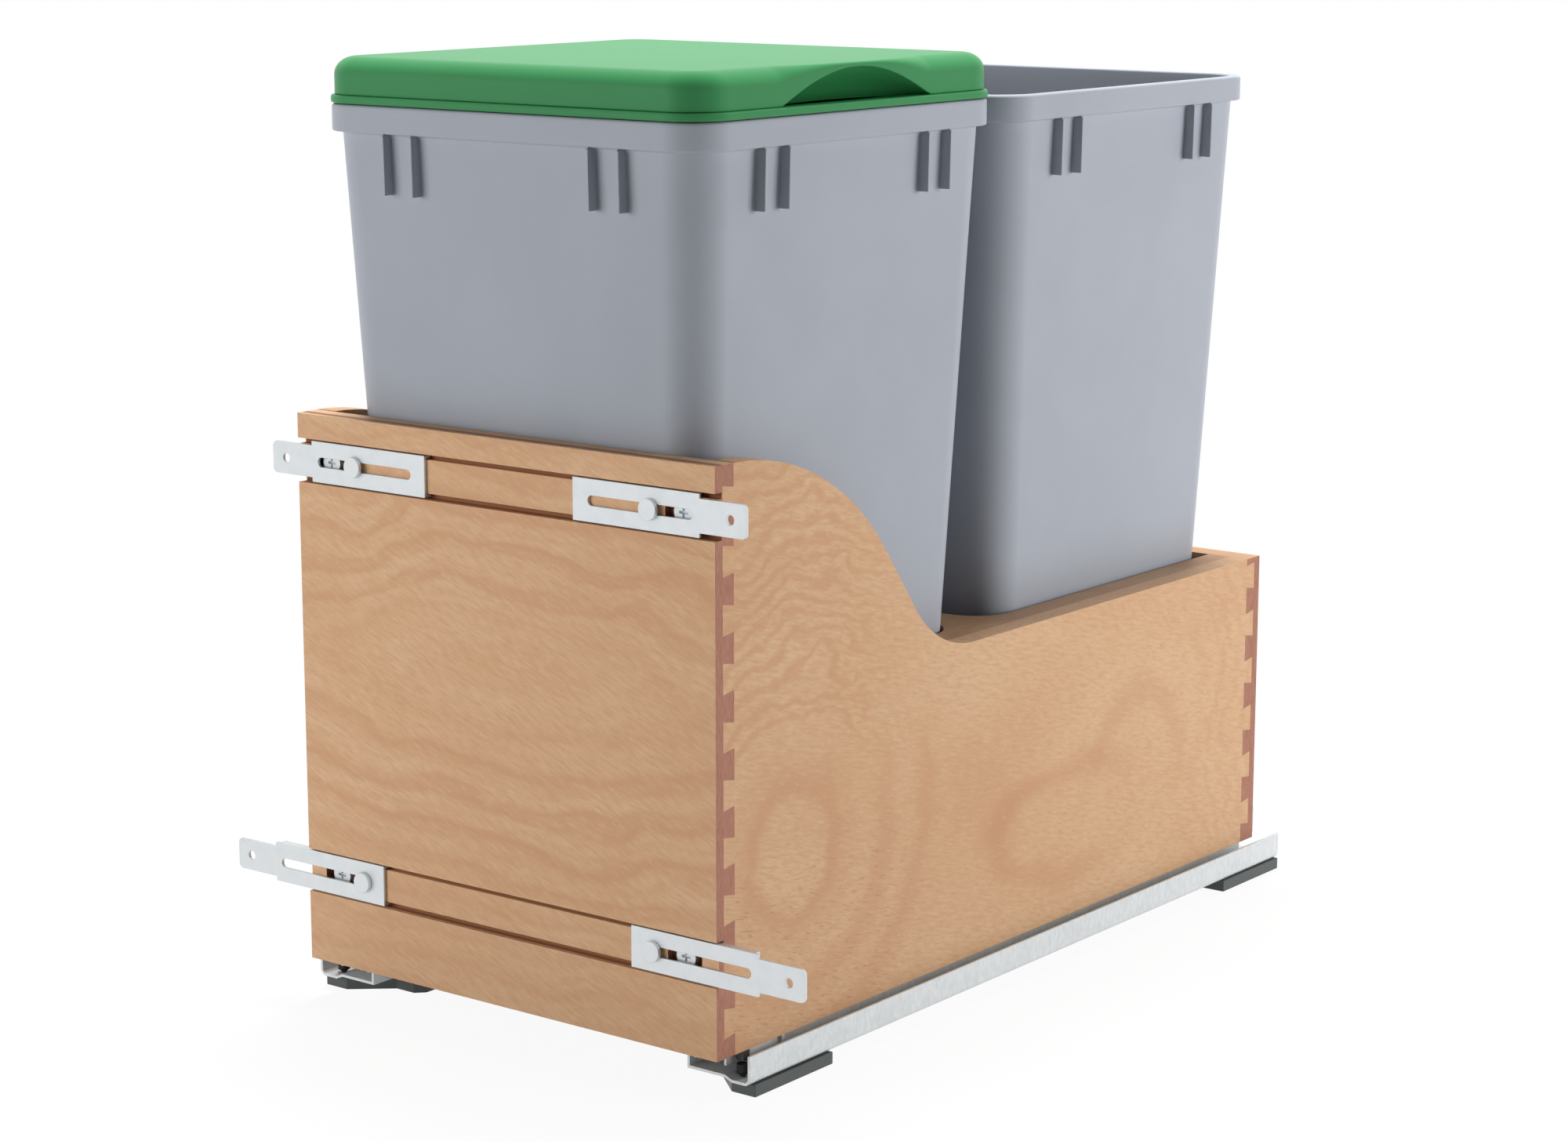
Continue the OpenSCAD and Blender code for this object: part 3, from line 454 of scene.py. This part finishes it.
for node, slot in SLOT.items():
    if node not in FINISH:
        same = [known for known in FINISH if SLOT[known] == slot]
        FINISH[node] = FINISH[LIKE.get(node, same[0])]


# Meshes: distances in metres, angles in degrees

WELD = 2e-6
SHAPE_WELD = 1e-6
SLIVER = 1e-7
FLAT = 0.8
SMOOTH = 32.0
BEVEL_STEPS = 2
EVEN_WEIGHT = 100
QUARTERS = ((1, 1), (-1, 1), (-1, -1), (1, -1))


def bake(piece):
    """Puts a piece's modifiers into its mesh."""
    shown = piece.evaluated_get(bpy.context.evaluated_depsgraph_get())
    mesh = bpy.data.meshes.new_from_object(shown)
    piece.modifiers.clear()
    piece.data = mesh


def dress(name, mesh, node, edge=0.0, smooth=SMOOTH):
    """Makes a piece that stands for a solid, with its edges eased by some millimetres."""
    piece = bpy.data.objects.new(name, mesh)
    bpy.context.scene.collection.objects.link(piece)
    mesh.materials.clear()
    mesh.materials.append(FINISH[node])
    mesh.shade_smooth()
    mesh.set_sharp_from_angle(angle=math.radians(smooth))
    if edge:
        bevel = piece.modifiers.new("eased_edges", "BEVEL")
        bevel.width = edge * MM
        bevel.segments = BEVEL_STEPS
        bevel.limit_method = "ANGLE"
        bevel.angle_limit = math.radians(smooth)
        bevel.use_clamp_overlap = False
        bevel.harden_normals = True
    else:
        even = piece.modifiers.new("even_normals", "WEIGHTED_NORMAL")
        even.keep_sharp = True
        even.weight = EVEN_WEIGHT
    bake(piece)
    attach(piece, BODY[node])
    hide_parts(node)


def eased(node, edge):
    """The solid's own shape with eased edges."""
    shape = bmesh.new()
    shape.from_mesh(frame["nodes"][node].data)
    bmesh.ops.remove_doubles(shape, verts=shape.verts, dist=WELD)
    bmesh.ops.dissolve_limit(shape, angle_limit=math.radians(FLAT), verts=shape.verts,
                             edges=shape.edges)
    mesh = bpy.data.meshes.new(node + "_eased")
    shape.to_mesh(mesh)
    shape.free()
    dress(node + "_eased", mesh, node, edge)


def rounded(half_x, half_y, radius, turns, ticks=()):
    """Points once round a rectangle with round corners. Ticks are more places along the +X side."""
    points = []
    for quarter, (sx, sy) in enumerate(QUARTERS):
        for i in range(turns + 1):
            a = math.radians(90 * quarter + 90 * i / turns)
            points.append((sx * (half_x - radius) + radius * math.cos(a),
                           sy * (half_y - radius) + radius * math.sin(a)))
    points.extend((half_x, y) for y in ticks)
    return points


def quarter_turn(steps, first=0):
    """Sine and cosine at even steps of a quarter turn."""
    angles = [math.radians(90 * i / steps) for i in range(first, steps + 1)]
    return [(math.sin(a), math.cos(a)) for a in angles]


class Shape:
    """Points and faces in millimetres, set down at a place of the part."""

    def __init__(self, centre):
        self.centre = Vector(centre)
        self.points = []
        self.faces = []

    def ring(self, points):
        start = len(self.points)
        self.points.extend(Vector(p) for p in points)
        return list(range(start, len(self.points)))

    def loft(self, rings, closed=False):
        """Faces from ring to ring, with a cap on each end or back to the first ring."""
        rows = [self.ring(points) for points in rings]
        pairs = list(zip(rows, rows[1:])) + ([(rows[-1], rows[0])] if closed else [])
        for low, high in pairs:
            for i in range(len(low)):
                j = (i + 1) % len(low)
                self.faces.append((low[i], low[j], high[j], high[i]))
        if not closed:
            self.faces.append(tuple(reversed(rows[0])))
            self.faces.append(tuple(rows[-1]))

    def mesh(self, name):
        mesh = bpy.data.meshes.new(name)
        mesh.from_pydata([(self.centre + p) * MM for p in self.points], [], self.faces)
        shape = bmesh.new()
        shape.from_mesh(mesh)
        bmesh.ops.remove_doubles(shape, verts=shape.verts, dist=SHAPE_WELD)
        bmesh.ops.dissolve_degenerate(shape, edges=shape.edges, dist=SLIVER)
        bmesh.ops.recalc_face_normals(shape, faces=shape.faces)
        shape.to_mesh(mesh)
        shape.free()
        return mesh


# Bins

BIN_LEAN = 20.6
BIN_WALL = 2.2
BIN_FLOOR = 2.8
BIN_TURNS = 12
BIN_SMOOTH = 40.0
LEAST_CORNER = 3.0
FOOT_CORNER = 19.0
FOOT_ROUND = 5.0
FOOT_STEPS = 6
FLOOR_INSET = 1.5
RIM_HIGH = 14.4
RIM_OUT = 4.0
RIM_CORNER = 24.0
RIM_BAND = 3.0
RIM_ROUND = 1.5
RIM_INNER_ROUND = 1.0
RIM_STEPS = 3
FIN_PLACES = (-79.8, -60.0, 60.0, 79.8)
FIN_THICK = 1.9
FIN_PROUD = 1.6
FIN_LONG = 31.6
FIN_ROOT = 1.2
FIN_DRAFT = 0.7
FIN_TAPER = 0.4
FIN_ROUND = 0.5
FIN_ROUND_MIDDLE = 0.15

# Heights of rings on the wall, over the foot or under the rim
WALL_OVER_FOOT = (12, 60, 160, 260, 360)
WALL_UNDER_RIM = (34, 12, 4, 1.4)
INSIDE_UNDER_RIM = (0, 40, 160, 280)
INSIDE_OVER_FOOT = (60, 14)
INSIDE_UNDER_TOP = 4

# Inset and height of the rounded edges under the rim, from the wall out to the rim's face
RIM_UNDERSIDE = (
    (RIM_OUT - 0.15, -0.5), (RIM_OUT - 0.6, -0.1), (RIM_OUT - 1.2, 0.0),
    (0.9, 0.0), (0.5, 0.08), (0.15, 0.35), (0.0, 0.8),
)

# Height over the fin's foot, or over the rim's foot, and how far the fin is trimmed there
FIN_BOTTOM = ((0.0, 0.5), (0.15, 0.15), (0.5, 0.02))
FIN_TOP = ((-1.0, 0.02), (0.0, FIN_PROUD), (1.0, FIN_PROUD))


def bin_shell(node):
    """A tapered square bin with a rim, a rounded foot and fins under the rim."""
    low, high = (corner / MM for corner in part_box(node))
    half = (high - low) / 2
    tall = high.z - low.z
    body = tall - RIM_HIGH
    shape = Shape(((low.x + high.x) / 2, (low.y + high.y) / 2, low.z))

    def level(inset, z):
        """A ring at some distance inside the rim's face."""
        share = min(max(z / body, 0), 1)
        corner = FOOT_CORNER + (RIM_CORNER - FOOT_CORNER) * share
        corner = max(corner - max(inset - RIM_OUT - BIN_LEAN * (1 - share), 0), LEAST_CORNER)
        return [(x, y, z) for x, y in rounded(half.x - inset, half.y - inset, corner, BIN_TURNS)]

    def wall(z):
        return RIM_OUT + BIN_LEAN * (1 - z / body)

    def outside():
        rings = [level(wall(0) + FOOT_ROUND + FLOOR_INSET, 0)]
        for sine, cosine in quarter_turn(FOOT_STEPS):
            z = FOOT_ROUND * (1 - cosine)
            rings.append(level(wall(z) + FOOT_ROUND * (1 - sine), z))
        heights = list(WALL_OVER_FOOT) + [body - under for under in WALL_UNDER_RIM]
        rings += [level(wall(z), z) for z in heights]
        rings += [level(inset, body + rise) for inset, rise in RIM_UNDERSIDE]
        rings += [level(0, z) for z in (body + RIM_BAND, tall - RIM_BAND, tall - RIM_ROUND)]
        for sine, cosine in quarter_turn(RIM_STEPS, 1):
            rings.append(level(RIM_ROUND * (1 - cosine), tall - RIM_ROUND * (1 - sine)))
        return rings

    def inside():
        rings = []
        brim = RIM_OUT + BIN_WALL - BIN_LEAN * RIM_HIGH / body - RIM_INNER_ROUND
        for sine, cosine in quarter_turn(RIM_STEPS):
            rings.append(level(brim + RIM_INNER_ROUND * sine, tall - RIM_INNER_ROUND * (1 - cosine)))
        heights = [tall - INSIDE_UNDER_TOP] + [body - under for under in INSIDE_UNDER_RIM]
        heights += list(INSIDE_OVER_FOOT) + [BIN_FLOOR + FOOT_ROUND]
        rings += [level(wall(z) + BIN_WALL, z) for z in heights]
        for sine, cosine in quarter_turn(FOOT_STEPS, 1):
            z = BIN_FLOOR + FOOT_ROUND * (1 - sine)
            rings.append(level(wall(z) + BIN_WALL + FOOT_ROUND * (1 - cosine), z))
        rings.append(level(wall(BIN_FLOOR) + BIN_WALL + FOOT_ROUND + FLOOR_INSET, BIN_FLOOR))
        return rings

    def fin(place, along, out, half_out):
        """A fin from the wall to the rim's face, with a rounded outer edge."""
        def section(z, trim):
            root = half_out - wall(z) - FIN_ROOT
            nose = half_out + FIN_PROUD - trim - FIN_DRAFT * (body - z) / FIN_LONG
            side = FIN_THICK / 2 - trim * FIN_TAPER
            edge = [(side - FIN_ROUND, nose), (side - FIN_ROUND_MIDDLE, nose - FIN_ROUND_MIDDLE),
                    (side, nose - FIN_ROUND), (side, root)]
            outline = [(-a, b) for a, b in reversed(edge)] + edge
            return [along * (place + a) + out * b + Vector((0, 0, z)) for a, b in outline]
        foot = body - FIN_LONG
        shape.loft([section(foot + rise, trim) for rise, trim in FIN_BOTTOM]
                   + [section(body + rise, trim) for rise, trim in FIN_TOP])

    shape.loft(outside() + inside())
    for place in FIN_PLACES:
        for sign in (-1, 1):
            fin(place, Vector((1, 0, 0)), Vector((0, sign, 0)), half.y)
            fin(place, Vector((0, 1, 0)), Vector((sign, 0, 0)), half.x)
    dress(node + "_moulding", shape.mesh(node + "_moulding"), node, smooth=BIN_SMOOTH)


# Lid

LID_LIP = 8.0
LID_FLANGE = 4.4
LID_LEDGE = 2.1
LID_EDGE = 9.5
LID_SHOULDER = 11.5
LID_WALL = 2.2
LID_BRIM = 1.4
LID_ROUND = 0.6
LID_SEAM = 0.05
LID_FIT = 0.9
LID_TURNS = 10
LID_EDGE_STEPS = 12
LID_INNER_STEPS = 5
LID_ROUND_STEPS = 3
LID_LEAST_CORNER = 0.5
LID_SMOOTH = 42.0
LID_TOP_RINGS = (40.0, 19.0)
LID_INNER_RING = 42.0
LID_SIDE_RINGS = (0.3, 0.7)
SCOOP_HALF = 64.0
SCOOP_HIGH = 17.4
SCOOP_DEEP = 22.0
SCOOP_SHIFT = 1.0
SCOOP_STEPS = 96
SCOOP_ARCH = 1.12
SCOOP_BLEND = 1.4
POCKET_LEAST = 0.8
POCKET_FULL = 0.55
POCKET_BEND = 0.3
POCKET_RINGS = (0.12, 0.3, 0.5, 0.68, 0.82, 0.92, 0.98, 1.0)

# Inset and height of the flange's edge, from its underside to its top
FLANGE_EDGE = (
    (1.1, 0.05), (0.5, 0.2), (0.12, 0.6), (0.0, 1.1),
    (0.0, 2.9), (0.15, 3.6), (0.55, 4.1), (1.2, LID_FLANGE - LID_SEAM),
)
FLANGE_ROOT = 0.4

# Inset and height of the edges at the foot of the skirt that goes into the bin
SKIRT_EDGE = ((0.0, 1.0), (0.15, 0.4), (0.6, 0.0))
SKIRT_TOP = 1.0


def lid_shell():
    """A flat lid with soft shoulders, a flange, a skirt inside the rim, and a finger scoop."""
    low, high = (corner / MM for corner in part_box("can_lid"))
    half = (high - low) / 2
    top = high.z - low.z - LID_LIP
    side_x, side_y = half.x - LID_LEDGE, half.y - LID_LEDGE
    corner = RIM_CORNER - LID_LEDGE
    shape = Shape(((low.x + high.x) / 2, (low.y + high.y) / 2, low.z + LID_LIP))
    reach = side_y - corner
    ticks = [-reach + 2 * reach * i / SCOOP_STEPS for i in range(1, SCOOP_STEPS)]
    base = rounded(side_x, side_y, corner, LID_TURNS, ticks)
    count = len(base) - len(ticks)

    def arch(i):
        """How far a point of the outline lies under the scoop's arch, 0 to 1."""
        if i < count:
            return 0.0
        t = abs(ticks[i - count] - SCOOP_SHIFT) / SCOOP_HALF
        return (1 - t * t) ** SCOOP_ARCH if t < 1 else 0.0

    def level(inset, z):
        """A ring of the lid's side, where the inset and the height follow the scoop."""
        points = []
        for i, (x, y) in enumerate(base):
            share = arch(i)
            depth = inset(share)
            if i < count:
                sx, sy = QUARTERS[i // (LID_TURNS + 1)]
                cx, cy = sx * (side_x - corner), sy * (side_y - corner)
                keep = max(corner - depth, LID_LEAST_CORNER) / corner
                slip = max(depth - corner + LID_LEAST_CORNER, 0)
                x, y = cx - sx * slip + (x - cx) * keep, cy - sy * slip + (y - cy) * keep
            else:
                x -= depth
                y *= min(1, (side_y - depth - LID_LEAST_CORNER) / reach)
            points.append((x, y, z(share)))
        return points

    def lip(share):
        """Height of the side's lower edge, which rises over the scoop."""
        return LID_FLANGE + LID_SEAM + SCOOP_HIGH * share

    def blend(size, share):
        """A size of the edge, which narrows to the brim over the scoop."""
        return LID_BRIM + (size - LID_BRIM) * (1 - share) ** SCOOP_BLEND

    def drop(share):
        return blend(LID_EDGE, share)

    def shoulder(share):
        return blend(LID_SHOULDER, share)

    def pocket(share):
        """How far in the scoop's floor ends."""
        return POCKET_LEAST + SCOOP_DEEP * share ** POCKET_FULL if share > 0 else POCKET_LEAST

    def inner_wall(share):
        return pocket(share) + LID_WALL

    def outside():
        rings = [level(lambda s: inset, lambda s: top) for inset in LID_TOP_RINGS]
        for sine, cosine in quarter_turn(LID_EDGE_STEPS):
            rings.append(level(lambda s: shoulder(s) * (1 - sine),
                               lambda s: top - drop(s) * (1 - cosine)))
        for t in LID_SIDE_RINGS:
            rings.append(level(lambda s: 0.0,
                               lambda s: (top - drop(s)) * (1 - t) + (lip(s) + LID_ROUND) * t))
        for sine, cosine in quarter_turn(LID_ROUND_STEPS):
            rings.append(level(lambda s: LID_ROUND * (1 - cosine),
                               lambda s: lip(s) + LID_ROUND * (1 - sine)))
        return rings

    def scoop():
        rings = []
        for t in POCKET_RINGS:
            turn = math.pi * t / 2
            inward = POCKET_BEND * math.sin(turn) + (1 - POCKET_BEND) * t
            down = POCKET_BEND * (1 - math.cos(turn)) + (1 - POCKET_BEND) * t
            rings.append(level(lambda s: LID_ROUND + (pocket(s) - LID_ROUND) * inward,
                               lambda s: lip(s) - (lip(s) - LID_FLANGE + LID_ROUND) * down))
        return rings

    def inside():
        bend = LID_EDGE - LID_WALL
        rings = [level(inner_wall, lambda s: LID_FLANGE - LID_ROUND),
                 level(inner_wall, lambda s: top - LID_EDGE)]
        for sine, cosine in quarter_turn(LID_INNER_STEPS, 1):
            rings.append(level(lambda s: inner_wall(s) + bend * (1 - cosine),
                               lambda s: top - LID_EDGE + bend * sine))
        rings.append(level(lambda s: LID_INNER_RING, lambda s: top - LID_WALL))
        return rings

    def band(inset, z):
        radius = max(RIM_CORNER - inset, LEAST_CORNER)
        return [(x, y, z) for x, y in rounded(half.x - inset, half.y - inset, radius, BIN_TURNS)]

    around = list(range(count, len(base))) + list(range(count))
    shape.loft([[ring[i] for i in around] for ring in outside() + scoop() + inside()])

    outer = RIM_OUT + BIN_WALL + LID_FIT
    inner = outer + LID_WALL
    shape.loft([band(inner, FLANGE_ROOT)]
               + [band(inset, z) for inset, z in FLANGE_EDGE]
               + [band(inner, LID_FLANGE - LID_SEAM)], closed=True)
    shape.loft([band(outer, SKIRT_TOP)]
               + [band(outer + inset, rise - LID_LIP) for inset, rise in SKIRT_EDGE]
               + [band(inner - inset, rise - LID_LIP) for inset, rise in reversed(SKIRT_EDGE)]
               + [band(inner, SKIRT_TOP)], closed=True)
    dress("can_lid_moulding", shape.mesh("can_lid_moulding"), "can_lid", smooth=LID_SMOOTH)


for node in ("front_can", "rear_can"):
    bin_shell(node)
lid_shell()


# Boards, sheet metal and small plastics: the solids with their edges eased by millimetres

EASE = {
    "front_panel": 0, "rear_panel": 0, "left_side_panel": 0, "right_side_panel": 0,
    "floor_panel": 0.3, "can_deck": 0.4, "deck_battens": 0.5,
    "upper_left_bracket": 0.4, "upper_right_bracket": 0.4,
    "lower_left_bracket": 0.4, "lower_right_bracket": 0.4,
    "clamp_studs": 0.45, "pan_head_screws": 0.2, "stud_inserts": 0.2,
    "left_cabinet_rail": 0.2, "right_cabinet_rail": 0.2,
    "left_tray_rail": 0.2, "right_tray_rail": 0.2,
    "left_middle_rail": 0.2, "right_middle_rail": 0.2,
    "front_bumpers": 0.4, "left_front_clip": 0.6, "right_front_clip": 0.6,
    "left_release_lever": 0.5, "right_release_lever": 0.5,
    "left_rear_bracket": 0.3, "right_rear_bracket": 0.3, "rear_bracket_screws": 0.3,
    "front_left_foot": 0.5, "front_right_foot": 0.5,
    "rear_left_foot": 0.5, "rear_right_foot": 0.5,
    "foot_rivets": 0.2,
}
for node, edge in EASE.items():
    eased(node, edge)

# Cages and balls keep the solids' own meshes
for node in SLOT:
    if node.endswith(("_cage", "_balls")):
        mesh = frame["nodes"][node].data
        mesh.materials.clear()
        mesh.materials.append(FINISH[node])


# Floor, light and camera: distances in metres, angles in degrees, power in watts

WHITE = (1.0, 1.0, 1.0, 1.0)
FLOOR_RADIUS = 8.0
FLOOR_SIDES = 96
FLOOR_DROP = 0.0002
FLOOR_GLOW = 0.93
FLOOR_FADE_MM = (420, 1000)
ROOM_DIM = 0.02
LAMP_AIM = Vector((0, 0, 0.26))
LAMP_AWAY = 2.4
CAMERA_SENSOR = 36.0
CAMERA_LENS = 80.82
CAMERA_RIGHT = 1.2052
CAMERA_AHEAD = 1.3230
CAMERA_UP = 0.5917
CAMERA_DOWN = 11.279
CAMERA_TURN = 37.599


def floor_finish():
    """White to the camera far out, with the part's soft shadow close by."""
    f = finish("pale_floor")
    x, y, z = f.parts(f.place())
    far = (x * x + y * y) ** 0.5
    bounce = f.add("ShaderNodeBsdfDiffuse", None, {"Color": ink(188, 188, 188)})
    matt = f.add("ShaderNodeBsdfDiffuse", None, {"Color": ink(236, 236, 236)})
    glow = f.add("ShaderNodeEmission", None, {"Color": WHITE, "Strength": 1.0})
    share = FLOOR_GLOW + (1 - FLOOR_GLOW) * far.between(*FLOOR_FADE_MM)
    shown = f.add("ShaderNodeMixShader", None, {0: share, 1: matt, 2: glow})
    return f.show(f.add("ShaderNodeMixShader", None, {0: f.seen(), 1: bounce, 2: shown}))


def stand():
    """A wide round floor just under the feet."""
    disc = bmesh.new()
    bmesh.ops.create_circle(disc, cap_ends=True, segments=FLOOR_SIDES, radius=FLOOR_RADIUS)
    mesh = bpy.data.meshes.new("floor")
    disc.to_mesh(mesh)
    disc.free()
    mesh.materials.append(floor_finish())
    floor = bpy.data.objects.new("floor", mesh)
    floor.location.z = -FLOOR_DROP
    bpy.context.scene.collection.objects.link(floor)


def softbox(name, azimuth, elevation, wide, high, power):
    """A flat lamp that looks at the middle of the part. Azimuth 0 is in front, 90 on the right."""
    data = bpy.data.lights.new(name, "AREA")
    data.shape = "RECTANGLE"
    data.size = wide
    data.size_y = high
    data.energy = power
    lamp = bpy.data.objects.new(name, data)
    a, e = math.radians(azimuth), math.radians(elevation)
    back = Vector((math.sin(a) * math.cos(e), -math.cos(a) * math.cos(e), math.sin(e)))
    lamp.location = LAMP_AIM + back * LAMP_AWAY
    lamp.rotation_euler = back.to_track_quat("Z", "Y").to_euler()
    lamp.visible_glossy = False
    bpy.context.scene.collection.objects.link(lamp)


def studio():
    """A room that looks white but gives little light, and three lamps."""
    room = Finish(bpy.data.worlds.new("white_room"))
    dim = room.add("ShaderNodeBackground", None, {"Color": WHITE, "Strength": ROOM_DIM})
    white = room.add("ShaderNodeBackground", None, {"Color": WHITE, "Strength": 1.0})
    mixed = room.add("ShaderNodeMixShader", None, {0: room.seen(), 1: dim, 2: white})
    bpy.context.scene.world = room.show(mixed, "ShaderNodeOutputWorld")
    softbox("left_softbox", -28, 8, 1.5, 1.2, 34.2)
    softbox("right_softbox", 119, 8, 1.3, 1.2, 50.2)
    softbox("top_softbox", -140, 78, 1.1, 1.1, 108)


def camera():
    """The photo's view, placed from the foot of the tray's front."""
    data = bpy.data.cameras.new("photo_camera")
    data.sensor_fit = "HORIZONTAL"
    data.sensor_width = CAMERA_SENSOR
    data.lens = CAMERA_LENS
    eye = bpy.data.objects.new("photo_camera", data)
    eye.location = (CAMERA_RIGHT, TRAY_FRONT * MM - CAMERA_AHEAD, TRAY_FOOT * MM + CAMERA_UP)
    eye.rotation_euler = (math.radians(90 - CAMERA_DOWN), 0, math.radians(CAMERA_TURN))
    bpy.context.scene.collection.objects.link(eye)
    bpy.context.scene.camera = eye


stand()
studio()
camera()
bpy.context.scene.view_settings.view_transform = "Standard"
